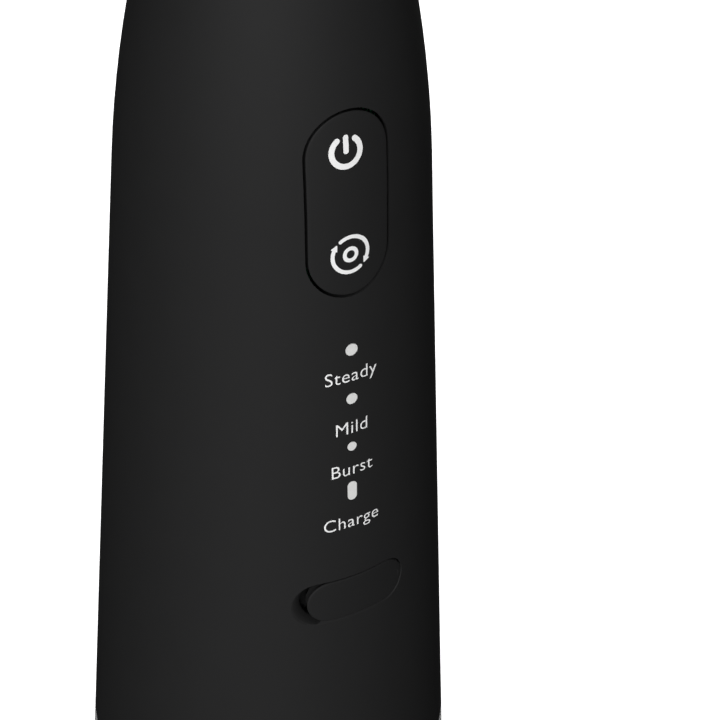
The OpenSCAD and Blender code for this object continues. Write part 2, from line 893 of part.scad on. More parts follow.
module cover_outline(x0, x1) {
    intersection() {
        translate([(cover_x0 + cover_x1) / 2, 0])
            pill(cover_x1 - cover_x0, port_h - 2 * cover_gap);
        translate([x0, -port_h])
            square([x1 - x0, 2 * port_h]);
    }
}

// The rubber plate between two sideways places
module cover_plate(x0, x1) {
    intersection() {
        difference() {
            body_solid(port_z - port_h, port_z + port_h);
            body_solid(port_z - port_h - 1, port_z + port_h + 1, -cover_t);
        }
        forward(port_z, 0, -far)
            cover_outline(x0, x1);
    }
}

module port_cover() {
    color([0.13, 0.13, 0.135])
    union() {
        cover_plate(cover_x0, hinge_x);
        intersection() {
            translate([hinge_x, hinge_y, port_z - port_h])
                cylinder(r = hinge_r, h = 2 * port_h);
            forward(port_z, 0, -far)
                cover_outline(cover_x0, cover_x1);
        }
        forward(port_z, port_floor_y - 0.2, port_floor_y - port_depth + cover_t - 0.3)
            translate([lip_x, 0])
                difference() {
                    pill(lip_w, lip_h);
                    pill(lip_w - 2 * lip_wall, lip_h - 2 * lip_wall);
                }
    }
}

module cover_anchor() {
    color([0.13, 0.13, 0.135])
    union() {
        cover_plate(anchor_x0, cover_x1);
        rod_y(peg_x, port_z, hinge_y, port_floor_y + well_t, peg_r);
    }
}

// ---------- hoses and nozzle ----------
tube_r = 2;
socket_z0 = cell_z0 + cell_l + 20;
socket_z1 = shell_z1 - cap_skirt_h - 1;
neck_z0 = cap_z1 - neck_h;

hose_start = cylinder_wall_r + 0.3;

// A round bar that starts upwards at the origin and bends toward -Y
module elbow(r, bend, angle) {
    translate([0, -bend, 0])
        rotate([90, 0, 90])
            rotate_extrude(angle = angle)
                translate([bend, 0])
                    circle(r, $fn = 32);
}

tube_low_z = cell_z0 + cell_l - 1;
tube_high_z = socket_z0 - 5;

// A round bar from one point to another
module bar(a, b, r) {
    d = b - a;
    translate(a)
        rotate([0, atan2(norm([d[0], d[1]]), d[2]), atan2(d[1], d[0])])
            cylinder(r = r, h = norm(d));
}

module bead(p, r) {
    translate(p)
        sphere(r = r, $fn = 32);
}

module suction_hose() {
    z0 = shell_z0 + base_t;
    corner = [dip_x, dip_y, inlet_z];
    inlet = [gear_x, pump_y, inlet_z];
    color([0.75, 0.78, 0.8])
    difference() {
        union() {
            bar([dip_x, dip_y, z0], corner, hose_r);
            bead(corner, hose_r + 0.4);
            bar(corner, inlet + (corner - inlet) * hose_start / norm(corner - inlet), hose_r);
        }
        translate([dip_x, dip_y, z0 - 1])
            cylinder(r = hose_plug_r, h = 4.2);
        toward_dip()
            cylinder(r = inlet_r, h = cylinder_wall_r + nipple_l + 0.2);
    }
}

module outlet_tube() {
    start = [gear_x, pump_y, block_z1 + 0.2];
    low = [gear_x, pump_y, tube_low_z];
    high = [0, 0, tube_high_z];
    end = [0, 0, socket_z0 - 0.1];
    color([0.8, 0.82, 0.84])
    difference() {
        union() {
            bar(start, low, tube_r);
            bead(low, tube_r + 0.3);
            bar(low, high, tube_r);
            bead(high, tube_r + 0.3);
            bar(high, end, tube_r);
        }
        translate([gear_x, pump_y, start[2] - 1])
            cylinder(r = outlet_r + 0.05, h = 4.7);
    }
}

module nozzle_socket() {
    color([0.82, 0.83, 0.84])
    difference() {
        translate([0, 0, socket_z0])
            cylinder(r = socket_wall_r, h = socket_z1 - socket_z0);
        translate([0, 0, socket_z0 + 3])
            cylinder(r = socket_bore_r, h = far);
        translate([0, 0, socket_z0 - 1])
            cylinder(r = hose_bore_r, h = 6);
        slab(-latch_w / 2 - 0.3, latch_w / 2 + 0.3, shank_r + 0.3, socket_wall_r + 1, latch_z0 - 0.3,
            latch_z0 + latch_t + 0.3);
    }
}

module nozzle_dial() {
    rib_r = 0.45;
    rib_count = 24;
    color([0.1, 0.1, 0.105])
    difference() {
        union() {
            translate([0, 0, dial_z0])
                cylinder(r = dial_r, h = dial_h - 1.2);
            translate([0, 0, dial_z1 - 1.2])
                cylinder(r1 = dial_r, r2 = dial_r - 1.2, h = 1.2);
            translate([0, 0, neck_z0])
                cylinder(r = dial_neck_r, h = dial_z0 - neck_z0 + 0.1);
        }
        for (i = [0:rib_count - 1])
            rotate(360 / rib_count * i)
                translate([dial_r + 0.15, 0, dial_z0 + 1])
                    cylinder(r = rib_r, h = dial_h, $fn = 16);
        translate([0, 0, neck_z0 - 1])
            cylinder(r = shank_r + 0.35, h = far);
        translate([0, 0, dial_z1 - collar_h])
            cylinder(r = collar_r + 0.2, h = far);
        for (a = [0, 180])
            rotate(a)
                slab(collar_r - 1, collar_r + 1.6, -1.7, 1.7, dial_z1 - collar_h, far * 4);
    }
}

collar_r = 7.2;
collar_h = 2.2;
neck_r = collar_r - 1.2;
band_r = collar_r - 1.4;
band_h = 2.2;
shank_z0 = socket_z0 + 4;
neck_cone_h = 14;
jet_z0 = dial_z1 + 3.4;
bend_z = dial_z1 + jet_h;
ring_z = shank_z0 + 4;
jet_bore_r = 0.9;
tip_r = 1.5;

module bent_tube(r) {
    translate([0, 0, bend_z])
        elbow(r, bend_r, bend_angle);
}

module tip_frame() {
    translate([0, -bend_r, bend_z])
        rotate([bend_angle, 0, 0])
            translate([0, bend_r, 0])
                children();
}

module nozzle_body() {
    color([0.95, 0.95, 0.95])
    difference() {
        union() {
            translate([0, 0, shank_z0])
                cylinder(r = shank_r, h = dial_z1 - collar_h - shank_z0 + 0.3);
            translate([0, 0, dial_z1 - collar_h + 0.05])
                cylinder(r = collar_r, h = collar_h + 1);
            for (a = [0, 180])
                rotate(a)
                    slab(collar_r - 1, collar_r + 1.2, -1.4, 1.4, dial_z1 - collar_h + 0.05, dial_z1);
            translate([0, 0, dial_z1 + 1])
                cylinder(r = neck_r, h = 3);
            translate([0, 0, jet_z0])
                cylinder(r1 = neck_r + 0.2, r2 = jet_r + 0.6, h = neck_cone_h);
            translate([0, 0, jet_z0 + neck_cone_h - 0.1])
                cylinder(r1 = jet_r + 0.6, r2 = jet_r, h = bend_z - jet_z0 - neck_cone_h + 0.1);
            bent_tube(jet_r);
            tip_frame() {
                translate([0, 0, -0.4])
                    cylinder(r = jet_r + 0.15, h = 1.4);
                translate([0, 0, 0.9])
                    cylinder(r1 = jet_r + 0.05, r2 = tip_r, h = tip_l);
            }
        }
        translate([0, 0, shank_z0 - 1])
            cylinder(r = jet_bore_r, h = bend_z - shank_z0 + 1);
        bent_tube(jet_bore_r);
        tip_frame()
            cylinder(r = 0.45, h = far);
        translate([0, 0, ring_z])
            rotate_extrude()
                translate([shank_r, 0])
                    square([2.5, 1.5], center = true);
        translate([0, 0, dial_z1 + 1])
            rotate_extrude()
                translate([band_r, 0])
                    square([3, band_h + 0.1]);
    }
}

module nozzle_band() {
    color([0.1, 0.45, 0.8])
    difference() {
        translate([0, 0, dial_z1 + 1.03])
            cylinder(r = collar_r - 0.5, h = band_h);
        translate([0, 0, dial_z1])
            cylinder(r = band_r + 0.02, h = 5);
    }
}

module nozzle_ring() {
    color([0.2, 0.2, 0.2])
    translate([0, 0, ring_z])
        rotate_extrude()
            translate([shank_r - 0.6 + run_gap / 2, 0])
                circle(0.6, $fn = 32);
}

// ---------- eject button ----------
latch_w = 6.5;
latch_t = 1.4;
latch_z0 = eject_z + 2.5;
eject_back_y = body_r(eject_z) - wall - 1.6;
latch_end_y = socket_wall_r + eject_travel + 0.3;
spring_z = eject_z - 1.2;

module eject_button() {
    color([0.1, 0.1, 0.105])
    union() {
        intersection() {
            body_solid(eject_z - eject_h, eject_z + eject_h, 0.5);
            forward(eject_z, far, eject_back_y)
                pill(eject_w, eject_h);
        }
        slab(-latch_w / 2 + 0.4, latch_w / 2 - 0.4, latch_end_y, eject_back_y + 0.2, latch_z0,
            latch_z0 + latch_t);
        rod_y(0, spring_z, eject_back_y - 1.6, eject_back_y + 0.5, 1.2);
    }
}

module eject_spring() {
    color("silver")
    translate([0, socket_wall_r + 0.05, spring_z])
        rotate([-90, 0, 0])
            coil(1.9, 0.25, eject_back_y - socket_wall_r - 0.1, 6);
}

// ---------- tank ----------
rim_z = seam_z - seam_gap / 2;
tank_z0 = 0.4;
floor_z = foot_t + 2.2;
flat_y = body_r(filler_z) - lid_depth;
lid_boss_r = lid_r + 2.6;
lid_boss_y0 = flat_y - 4.4;
pin_z = filler_z + lid_r + 2;
pin_y = flat_y - 0.5;
knuckle_r = 1.6;
lid_pin_r = 0.8;
knuckle_half = 5;
slot_gap = 0.3;

function arc_points(cx, cz, r, a0, a1, n) =
    [for (i = [0:n]) let (a = a0 + (a1 - a0) * i / n) [cx + r * cos(a), cz + r * sin(a)]];

edge_x = cone_r(tank_z0 + tank_edge_r) - tank_edge_r;
inner_edge_r = tank_edge_r - tank_wall + 1;

module tank_outer() {
    rotate_extrude($fn = 128)
        polygon(concat([[0, tank_z0]],
            arc_points(edge_x, tank_z0 + tank_edge_r, tank_edge_r, -90, 0, 6),
            [[cone_r(rim_z), rim_z], [0, rim_z]]));
}

module tank_inner() {
    lip_z = seam_z - spigot_h - 2;
    rotate_extrude()
        polygon(concat([[0, floor_z]],
            arc_points(cone_r(floor_z) - tank_wall - inner_edge_r - 0.3, floor_z + inner_edge_r, inner_edge_r,
                -90, 0, 5),
            [[cone_r(lip_z) - tank_wall, lip_z], [mouth_r, lip_z + 1], [mouth_r, rim_z + 1], [0, rim_z + 1]]));
}

module tank_shell() {
    color([0.3, 0.3, 0.32, 0.5])
    difference() {
        union() {
            difference() {
                tank_outer();
                tank_inner();
            }
            intersection() {
                tank_outer();
                union() {
                    rod_y(0, filler_z, lid_boss_y0, far, lid_boss_r);
                    slab(-knuckle_half - 3, knuckle_half + 3, lid_boss_y0, far, filler_z, pin_z + 4.2);
                }
            }
        }
        rod_y(0, filler_z, -1, far, filler_r);
        rod_y(0, filler_z, flat_y, far, lid_r + slot_gap);
        slab(-knuckle_half - slot_gap, knuckle_half + slot_gap, pin_y - knuckle_r - slot_gap, far,
            filler_z + lid_r - 2, pin_z + 3.1);
        rod_x(pin_y, pin_z, knuckle_half + 2.2, lid_pin_r);
        translate([0, 0, tank_z0 - 1])
            cylinder(r = foot_r + 0.1, h = foot_t - tank_z0 + 1);
    }
}

module foot_pad() {
    color([0.12, 0.12, 0.12])
    difference() {
        cylinder(r = foot_r, h = foot_t - 0.02);
        for (i = [1:3])
            translate([0, 0, -0.5])
                rotate_extrude()
                    translate([foot_r * i / 4, 0])
                        square([1.6, 1]);
    }
}

module filler_lid() {
    color([0.12, 0.12, 0.125])
    difference() {
        union() {
            intersection() {
                tank_outer();
                rod_y(0, filler_z, flat_y + 0.05, far, lid_r);
            }
            intersection() {
                tank_outer();
                slab(-knuckle_half, knuckle_half, pin_y - 0.6, far, filler_z + lid_r - 2, pin_z + 0.4);
            }
            rod_x(pin_y, pin_z, knuckle_half, knuckle_r);
        }
        rod_x(pin_y, pin_z, far, lid_pin_r + run_gap);
        rod_y(0, filler_z - lid_r - 0.6, flat_y + 1.2, far, 2.6);
    }
}

module filler_seal() {
    color([0.7, 0.72, 0.74])
        rod_y(0, filler_z, flat_y - 2, flat_y + 0.03, filler_r - 0.6);
}

module lid_pin() {
    color("silver")
        rod_x(pin_y, pin_z, knuckle_half + 2, lid_pin_r);
}

strainer_z0 = floor_z + 1.2;
strainer_h = 8;
strainer_r = 4.2;

module dip_tube() {
    color([0.8, 0.82, 0.84])
    translate([dip_x, dip_y, strainer_z0 + strainer_h - 2])
        difference() {
            cylinder(r = dip_bore_r - 0.02, h = seam_z - spigot_h + 4 - strainer_z0 - strainer_h + 2);
            translate([0, 0, -1])
                cylinder(r = hose_bore_r, h = far);
        }
}

module strainer() {
    color([0.6, 0.62, 0.64])
    translate([dip_x, dip_y, strainer_z0])
        difference() {
            cylinder(r = strainer_r, h = strainer_h);
            translate([0, 0, strainer_h - 2])
                cylinder(r = dip_bore_r, h = 3);
            translate([0, 0, -1])
                cylinder(r = hose_bore_r, h = far);
            for (a = [0, 45, 90, 135])
                rotate(a)
                    slab(-6, 6, -0.4, 0.4, -1, 4);
        }
}

handle_shell();
top_cap();
base_plate();
base_screws();
tank_seal();
chassis();
chassis_screws();
button_pad();
pad_pin();
pad_bracket();
mode_lens_large();
mode_lens_medium();
mode_lens_small();
charge_lens();
port_cover();
cover_anchor();
charge_socket();
main_board();
board_chips();
indicator_leds();
power_switch();
mode_switch();
battery_cell();
battery_tabs();
motor_can();
motor_cap();
motor_shaft();
pinion();
crank_gear();
crank_pin();
gear_axle();
connecting_rod();
piston();
piston_seal();
pump_cylinder();
valve_block();
inlet_ball();
outlet_ball();
valve_spring();
suction_hose();
outlet_tube();
nozzle_socket();
eject_button();
eject_spring();
nozzle_dial();
nozzle_body();
nozzle_band();
nozzle_ring();
tank_shell();
foot_pad();
dip_tube();
strainer();
filler_lid();
filler_seal();
lid_pin();
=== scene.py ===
"""Looks of the cordless dental water jet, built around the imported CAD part. Everything is in metres."""

import json
import math

import bmesh
import bpy
from mathutils import Euler, Matrix, Vector


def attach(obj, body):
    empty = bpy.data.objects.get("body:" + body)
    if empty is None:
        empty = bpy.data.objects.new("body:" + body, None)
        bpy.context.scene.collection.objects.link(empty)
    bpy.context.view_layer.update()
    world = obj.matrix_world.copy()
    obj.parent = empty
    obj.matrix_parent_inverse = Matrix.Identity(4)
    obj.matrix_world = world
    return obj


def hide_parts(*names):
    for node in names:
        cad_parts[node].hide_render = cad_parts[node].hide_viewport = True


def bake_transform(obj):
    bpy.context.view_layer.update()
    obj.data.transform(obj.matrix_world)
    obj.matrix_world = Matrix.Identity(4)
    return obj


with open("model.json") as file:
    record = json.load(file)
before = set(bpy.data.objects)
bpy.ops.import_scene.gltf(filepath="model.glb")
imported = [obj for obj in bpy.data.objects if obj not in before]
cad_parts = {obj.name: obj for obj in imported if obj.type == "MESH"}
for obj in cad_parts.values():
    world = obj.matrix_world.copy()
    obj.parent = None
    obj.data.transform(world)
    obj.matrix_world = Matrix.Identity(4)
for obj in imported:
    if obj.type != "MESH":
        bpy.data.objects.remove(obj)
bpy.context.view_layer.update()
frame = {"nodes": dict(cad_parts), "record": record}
MM = 0.001

# ---------- the body's own shape, as the CAD source has it ----------
SEAM = 60 * MM
LED = SEAM + 84 * MM
GRIP_R = 26 * MM
TAPER = 0.0615
SHOULDER = LED + 30 * MM
SHOULDER_R = 200 * MM
PAD_Z = LED + 33 * MM
PORT_Z = LED - 37.9 * MM


def body_r(z):
    """Radius of the body's skin at a height."""
    over = z - SHOULDER
    r = GRIP_R - TAPER * (z - LED)
    if over > 0:
        r -= SHOULDER_R - math.sqrt(SHOULDER_R ** 2 - over ** 2)
    return r


def on_skin(x, z, depth=0.0):
    """The point of the body's front that lies at x and z, or that far straight behind it."""
    return Vector((x, depth - math.sqrt(body_r(z) ** 2 - x ** 2), z))


def skin_normal(point):
    """Which way the body's skin faces beside a point."""
    step = 0.1 * MM
    slope = (body_r(point.z - step) - body_r(point.z + step)) / (2 * step)
    return Vector((point.x, point.y, slope * math.hypot(point.x, point.y))).normalized()


def new_object(name, data):
    """A new object in the scene."""
    made = bpy.data.objects.new(name, data)
    bpy.context.scene.collection.objects.link(made)
    return made


# ---------- camera: where it stands round the middle indicator and how far it looks aside, in degrees ----------
CAMERA_TURN = -28.01
CAMERA_RISE = 34.78
CAMERA_AWAY = 357.7 * MM
AIM = (-1.247, -2.256, 0.409)
LENS = 112.56


def add_camera():
    turn = math.radians(CAMERA_TURN)
    rise = math.radians(CAMERA_RISE)
    back = Vector((math.sin(turn) * math.cos(rise), -math.cos(turn) * math.cos(rise), math.sin(rise)))
    data = bpy.data.cameras.new("camera")
    data.lens = LENS
    data.sensor_width = 36
    data.clip_start = 0.01
    data.clip_end = 20
    camera = new_object("camera", data)
    level = (-back).to_track_quat("-Z", "Y").to_matrix()
    aside = Euler([math.radians(angle) for angle in AIM]).to_matrix()
    camera.location = Vector((0, 0, LED)) + back * CAMERA_AWAY
    camera.rotation_mode = "QUATERNION"
    camera.rotation_quaternion = (level @ aside).to_quaternion()
    bpy.context.scene.camera = camera


add_camera()


# ---------- shaders ----------
class Value:
    """A shader socket that takes part in sums; each sum adds its own Math node."""

    def __init__(self, paint, socket):
        self.paint = paint
        self.socket = socket

    def sum(self, operation, *terms):
        return self.paint.node("ShaderNodeMath", {"operation": operation}, dict(enumerate(terms)))

    def __add__(self, other):
        return self.sum("ADD", self, other)

    def __sub__(self, other):
        return self.sum("SUBTRACT", self, other)

    def __mul__(self, other):
        return self.sum("MULTIPLY", self, other)

    def __abs__(self):
        return self.sum("ABSOLUTE", self)

    __radd__ = __add__
    __rmul__ = __mul__

    def clamp(self):
        return self.sum("MAXIMUM", self.sum("MINIMUM", self, 1.0), 0.0)

    def above(self, edge, blur):
        """0 below the edge and 1 above it, blurred over a width."""
        return ((self - edge) * (1 / blur) + 0.5).clamp()


def pick(sockets, key):
    """A node's socket by number, or the one in use by name."""
    if isinstance(key, int):
        return sockets[key]
    return next(socket for socket in sockets if socket.name == key and socket.enabled)


class Paint:
    """One material and the nodes in it."""

    def __init__(self, name):
        self.material = bpy.data.materials.new(name)
        self.material.use_nodes = True
        self.tree = self.material.node_tree
        self.tree.nodes.clear()
        self.place = self.node("ShaderNodeTexCoord", output="Object")

    def node(self, kind, settings=None, sockets=None, output=0):
        made = self.tree.nodes.new(kind)
        for key, value in (settings or {}).items():
            setattr(made, key, value)
        for key, value in (sockets or {}).items():
            if isinstance(value, Value):
                self.tree.links.new(value.socket, pick(made.inputs, key))
            else:
                pick(made.inputs, key).default_value = value
        return None if output is None else Value(self, pick(made.outputs, output))

    def part(self, axis):
        """One coordinate of the place on the piece, in metres."""
        return self.node("ShaderNodeSeparateXYZ", {}, {"Vector": self.place}, output=axis)

    def noise(self, size, detail=2.0, stretch=(1, 1, 1)):
        """Noise from 0 to 1 whose blotches are about that size."""
        place = self.node("ShaderNodeMapping", {}, {"Vector": self.place, "Scale": stretch})
        return self.node("ShaderNodeTexNoise", {}, {"Vector": place, "Scale": 1 / size, "Detail": detail})

    def blend(self, share, low, high):
        """A colour between two, by a value."""
        sockets = {"Factor": share, "A": (*low, 1), "B": (*high, 1)}
        return self.node("ShaderNodeMix", {"data_type": "RGBA"}, sockets, output="Result")

    def bump(self, height, depth):
        """The surface's normal over a height from 0 to 1 that is so deep."""
        sockets = {"Height": height, "Distance": depth, "Strength": 1.0}
        return self.node("ShaderNodeBump", {}, sockets, output="Normal")

    def finish(self, **sockets):
        """Ends the material in one Principled shader."""
        named = {key.replace("_", " "): value for key, value in sockets.items()}
        shader = self.node("ShaderNodeBsdfPrincipled", {}, named, output="BSDF")
        self.node("ShaderNodeOutputMaterial", {}, {"Surface": shader}, output=None)
        return self.material


def shade(colour, share):
    """A colour made lighter or darker."""
    return tuple(min(1.0, channel * share) for channel in colour)


def moulded(name, colour, roughness, grain=0.3 * MM, depth=0.004 * MM, mottle=0.06, **gloss):
    """Moulded plastic or rubber: a fine grain, a little unevenness in gloss and tone."""
    paint = Paint(name)
    tone = paint.noise(9 * MM, 3)
    sheen = paint.noise(2.5 * MM, 4)
    fine = paint.noise(grain, 2)
    return paint.finish(
        Base_Color=paint.blend(tone, shade(colour, 1 - mottle), shade(colour, 1 + mottle)),
        Roughness=roughness - 0.04 + 0.08 * sheen,
        Normal=paint.bump(fine, depth),
        **gloss)


def metal(name, colour, roughness, brushed=(1, 1, 1), **gloss):
    """Plated or drawn metal with fine lines along one way."""
    paint = Paint(name)
    lines = paint.noise(0.15 * MM, 3, brushed)
    stain = paint.noise(3 * MM, 3)
    return paint.finish(
        Base_Color=paint.blend(stain, shade(colour, 0.9), shade(colour, 1.08)),
        Metallic=1.0,
        Roughness=roughness - 0.06 + 0.12 * lines,
        Normal=paint.bump(lines, 0.002 * MM),
        **gloss)


def soft_touch():
    """The handle's soft-touch black coat: a dust-fine tooth and barely uneven gloss."""
    paint = Paint("soft_touch_black")
    tooth = paint.noise(0.11 * MM, 2)
    cloud = paint.noise(6 * MM, 4)
    colour = (0.0118, 0.0118, 0.012)
    return paint.finish(
        Base_Color=paint.blend(cloud, shade(colour, 0.95), shade(colour, 1.05)),
        Roughness=0.7 + 0.06 * cloud,
        Normal=paint.bump(tooth, 0.004 * MM),
        Specular_IOR_Level=0.2)


def smoked_tank():
    """The tank's clear smoky plastic."""
    paint = Paint("smoky_tank")
    flow = paint.noise(14 * MM, 2, (1, 1, 0.3))
    fine = paint.noise(0.6 * MM, 2)
    colour = (0.035, 0.037, 0.04)
    return paint.finish(
        Base_Color=paint.blend(flow, shade(colour, 0.9), shade(colour, 1.1)),
        Roughness=0.12 + 0.08 * fine,
        Normal=paint.bump(flow, 0.01 * MM),
        Alpha=0.6 + 0.08 * flow,
        Specular_IOR_Level=0.5)


def circuit_green():
    """Solder resist with copper tracks showing through it."""
    paint = Paint("circuit_green")
    across = paint.part("X")
    tracks = abs(paint.node("ShaderNodeMath", {"operation": "PINGPONG"}, {0: across, 1: 0.6 * MM}) - 0.3 * MM)
    raised = tracks.above(0.18 * MM, 0.05 * MM)
    return paint.finish(
        Base_Color=paint.blend(raised, (0.006, 0.05, 0.022), (0.015, 0.11, 0.05)),
        Roughness=0.3 + 0.1 * paint.noise(1.5 * MM),
        Normal=paint.bump(raised, 0.03 * MM))


def milky_lens():
    """Frosted light guides."""
    paint = Paint("milky_lens")
    haze = paint.noise(0.5 * MM, 3)
    return paint.finish(
        Base_Color=paint.blend(haze, (0.68, 0.68, 0.67), (0.76, 0.76, 0.75)),
        Roughness=0.42 + 0.1 * haze,
        Normal=paint.bump(haze, 0.004 * MM),
        Subsurface_Weight=0.15,
        Subsurface_Radius=(0.4 * MM, 0.4 * MM, 0.4 * MM))


def printed_ink(name, colour):
    """Pad-printed ink: slightly raised, with a faint speckle."""
    paint = Paint(name)
    speckle = paint.noise(0.12 * MM, 3)
    return paint.finish(
        Base_Color=paint.blend(speckle, shade(colour, 0.95), colour),
        Roughness=0.5 + 0.08 * speckle,
        Normal=paint.bump(speckle, 0.003 * MM))


FINISH = {
    "soft_black": soft_touch(),
    "pad_black": moulded("button_black", (0.0112, 0.0112, 0.0114), 0.72, 0.12 * MM, 0.004 * MM, 0.04,
        Specular_IOR_Level=0.2),
    "cover_rubber": moulded("cover_rubber", (0.0105, 0.0105, 0.0107), 0.74, 0.13 * MM, 0.005 * MM, 0.04,
        Specular_IOR_Level=0.2),
    "cap_black": moulded("satin_black", (0.02, 0.02, 0.021), 0.42, 0.25 * MM, 0.006 * MM),
    "grey_plastic": moulded("grey_plastic", (0.12, 0.12, 0.125), 0.45),
    "white_plastic": moulded("white_plastic", (0.72, 0.72, 0.69), 0.42),
    "screw_steel": metal("screw_steel", (0.6, 0.6, 0.62), 0.3),
    "motor_steel": metal("motor_steel", (0.55, 0.56, 0.58), 0.33, (1, 0.1, 1)),
    "seal_rubber": moulded("seal_rubber", (0.03, 0.03, 0.03), 0.5, 0.2 * MM, 0.008 * MM),
    "lens_white": milky_lens(),
    "led_white": moulded("led_white", (0.8, 0.8, 0.72), 0.3),
    "contact_metal": metal("nickel_contact", (0.66, 0.65, 0.62), 0.22),
    "board_green": circuit_green(),
    "chip_black": moulded("chip_black", (0.02, 0.02, 0.021), 0.55, 0.15 * MM, 0.01 * MM),
    "cell_wrap": moulded("cell_wrap", (0.02, 0.09, 0.3), 0.28, 0.8 * MM, 0.01 * MM),
    "brass": metal("brass", (0.72, 0.5, 0.2), 0.25),
    "gear_nylon": moulded("gear_acetal", (0.76, 0.73, 0.62), 0.38, 0.2 * MM, 0.004 * MM),
    "clear_grey": moulded("pump_grey", (0.32, 0.34, 0.36), 0.32),
    "hose_silicone": moulded("milky_silicone", (0.5, 0.53, 0.55), 0.4, 0.4 * MM, 0.006 * MM),
    "nozzle_white": moulded("nozzle_white", (0.8, 0.8, 0.79), 0.22, 0.6 * MM, 0.003 * MM, 0.02),
    "band_blue": moulded("band_blue", (0.02, 0.17, 0.5), 0.25, 0.5 * MM, 0.003 * MM),
    "tank_smoke": smoked_tank(),
    "foot_rubber": moulded("foot_rubber", (0.025, 0.025, 0.025), 0.7, 0.3 * MM, 0.02 * MM),
}
INK = {
    "icon_ink": printed_ink("icon_ink", (0.9, 0.9, 0.9)),
    "label_ink": printed_ink("label_ink", (0.9, 0.9, 0.9)),
}


def dress_cad():
    """Gives every CAD node the finish of its slot."""
    slots = {part["node"]: part["material_slot"] for part in frame["record"]["subparts"]}
    for name, node in frame["nodes"].items():
        node.data.materials.clear()
        node.data.materials.append(FINISH[slots[name]])


dress_cad()


# ---------- making pieces ----------
def add_piece(name, bm, finish, body=None, stands_for=(), sharp=40):
    """Makes a piece of the model from a finished bmesh; it rides a body and stands for CAD nodes."""
    mesh = bpy.data.meshes.new(name)
    bm.to_mesh(mesh)
    bm.free()
    mesh.shade_smooth()
    mesh.set_sharp_from_angle(angle=math.radians(sharp))
    mesh.materials.append(FINISH.get(finish) or INK[finish])
    piece = new_object(name, mesh)
    if stands_for:
        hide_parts(*stands_for)
    if body:
        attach(piece, body)
    return piece


def merged_copy(node):
    """A CAD node's surface with its loose triangles joined."""
    source = frame["nodes"][node]
    bm = bmesh.new()
    bm.from_mesh(source.data)
    bm.transform(source.matrix_world)
    bmesh.ops.remove_doubles(bm, verts=bm.verts, dist=0.0005 * MM)
    bmesh.ops.dissolve_degenerate(bm, edges=bm.edges, dist=0.0001 * MM)
    bmesh.ops.recalc_face_normals(bm, faces=bm.faces)
    return bm


def wrap(bm, height):
    """Lays a flat drawing round the body's front: x stays sideways, y climbs and z stands out of the skin."""
    for vertex in bm.verts:
        vertex.co = on_skin(vertex.co.x, height + vertex.co.y, -vertex.co.z)


def softened(name, node, finish, body, width, sharp=35):
    """A CAD node's surface with its hard edges rounded."""
    piece = add_piece(name, merged_copy(node), finish, body, [node], sharp)
    bevel = piece.modifiers.new("soft_edges", "BEVEL")
    bevel.width = width
    bevel.segments = 2
    bevel.limit_method = "ANGLE"
    bevel.angle_limit = math.radians(sharp)


def held(value, limit):
    """A value kept within a limit on both sides of zero."""
    return max(-limit, min(limit, value))


def next_ring(bm, rim):
    """Extrudes a rim of edges; returns the new corners and the new rim."""
    made = bmesh.ops.extrude_edge_only(bm, edges=rim)["geom"]
    fresh = [part for part in made if isinstance(part, bmesh.types.BMVert)]
    corners = set(fresh)
    edges = [part for part in made if isinstance(part, bmesh.types.BMEdge)]
    return fresh, [edge for edge in edges if corners.issuperset(edge.verts)]


PILL_SIDES = 64


class Pill:
    """A flat shape with round ends whose rim is carried inwards, outwards and upwards ring by ring."""

    def __init__(self, bm, width, height, middle=(0, 0), level=0.0, tuck=0.0, cuts=40):
        self.bm = bm
        self.middle = Vector((*middle, 0))
        self.r = min(width, height) / 2
        self.reach = (width / 2 - self.r, height / 2 - self.r)
        known = len(bm.verts)
        turned = Matrix.Translation(self.middle) @ Matrix.Rotation(math.pi / PILL_SIDES, 4, "Z")
        verts = bmesh.ops.create_circle(bm, segments=PILL_SIDES, radius=self.r, matrix=turned)["verts"]
        long = 0 if width > height else 1
        for vertex in verts:
            vertex.co[long] += math.copysign(self.reach[long], vertex.co[long] - self.middle[long])
        rim = {edge for vertex in verts for edge in vertex.link_edges}
        sides = [edge for edge in rim if edge.calc_length() > self.reach[long]]
        bmesh.ops.subdivide_edges(bm, edges=sides, cuts=cuts)
        bm.verts.ensure_lookup_table()
        fresh = set(bm.verts[known:])
        self.rim = [edge for edge in bm.edges if fresh.issuperset(edge.verts)]
        self.settle(fresh, self.r - tuck, level)

    def settle(self, verts, away, level):
        """Puts corners that far from the pill's spine, at a level."""
        for vertex in verts:
            place = vertex.co - self.middle
            spine = Vector((held(place.x, self.reach[0]), held(place.y, self.reach[1]), 0))
            out = Vector((place.x, place.y, 0)) - spine
            vertex.co = self.middle + spine + out.normalized() * away + Vector((0, 0, level))

    def carry(self, rings, rim=None):
        """Extrudes the rim through rings of (distance from the spine, level) and returns the last rim."""
        rim = rim or self.rim
        for away, level in rings:
            fresh, rim = next_ring(self.bm, rim)
            self.settle(fresh, away, level)
        return rim

    def rounded(self, level, radius, steps=5):
        """Rings that round the rim over to a level; a radius below zero rounds it downwards."""
        turns = [math.pi / 2 * i / steps for i in range(steps + 1)]
        soft = abs(radius)
        return [(self.r - soft * (1 - math.cos(a)), level - radius * (1 - math.sin(a))) for a in turns]

    def inwards(self, level, start, steps=10):
        """Rings from a distance down to the spine."""
        return [(start * (1 - i / steps), level) for i in range(1, steps + 1)]


def close_up(bm):
    """Joins what meets on a spine and turns every face outwards."""
    bmesh.ops.remove_doubles(bm, verts=bm.verts, dist=0.002 * MM)
    bmesh.ops.dissolve_degenerate(bm, edges=bm.edges, dist=0.0005 * MM)
    bmesh.ops.recalc_face_normals(bm, faces=bm.faces)


